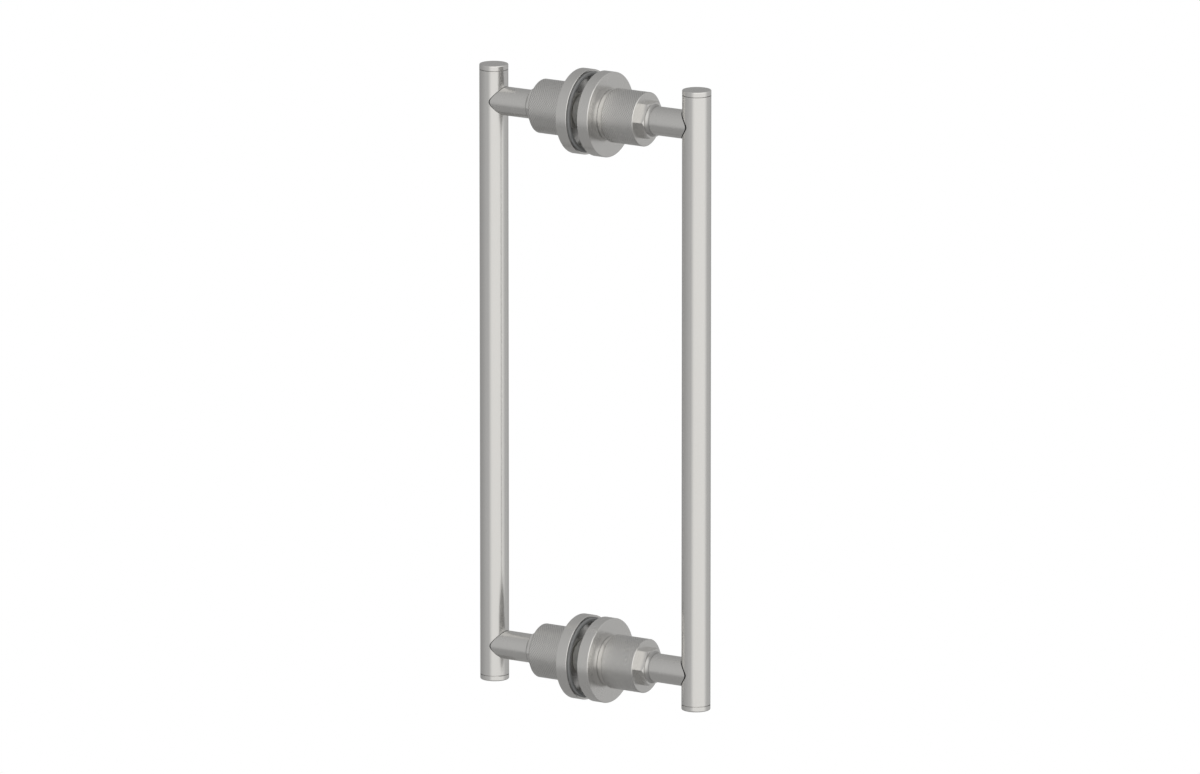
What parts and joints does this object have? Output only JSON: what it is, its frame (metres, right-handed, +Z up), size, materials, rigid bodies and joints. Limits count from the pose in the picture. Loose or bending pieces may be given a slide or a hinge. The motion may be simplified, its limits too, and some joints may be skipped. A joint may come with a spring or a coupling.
{
  "type": "shower door handle",
  "caption": "Back-to-back pull handle for a glass shower door: straight round bars on knurled posts, clamped through the glass between gasketed flanges.",
  "frame": {"origin": "middle of the handle: halfway between the two fixings, in the middle of the glass", "axes": "+Z up along the bars, +X along the glass, +Y through the glass from the front handle to the back handle"},
  "size_m": [0.047, 0.1476, 0.3518],
  "materials": {
    "satin_nickel": "fine satin nickel, almost polished",
    "knurled_nickel": "satin nickel with a fine diamond knurl",
    "gasket_grey": "matt grey elastomer",
    "bush_nylon": "natural grey nylon",
    "stud_steel": "plain rolled steel thread"
  },
  "bodies": {
    "root": {"front_bar": "satin_nickel", "front_bar_top_cap": "satin_nickel", "front_bar_bottom_cap": "satin_nickel", "front_upper_post": "satin_nickel", "front_upper_barrel_nut": "knurled_nickel", "front_upper_base_flange": "satin_nickel", "front_upper_gasket": "gasket_grey", "front_lower_post": "satin_nickel", "front_lower_barrel_nut": "knurled_nickel", "front_lower_base_flange": "satin_nickel", "front_lower_gasket": "gasket_grey", "back_bar": "satin_nickel", "back_bar_top_cap": "satin_nickel", "back_bar_bottom_cap": "satin_nickel", "back_upper_post": "satin_nickel", "back_upper_barrel_nut": "knurled_nickel", "back_upper_base_flange": "satin_nickel", "back_upper_gasket": "gasket_grey", "back_lower_post": "satin_nickel", "back_lower_barrel_nut": "knurled_nickel", "back_lower_base_flange": "satin_nickel", "back_lower_gasket": "gasket_grey", "upper_glass_bush": "bush_nylon", "upper_through_stud": "stud_steel", "lower_glass_bush": "bush_nylon", "lower_through_stud": "stud_steel"}
  },
  "joints": []
}
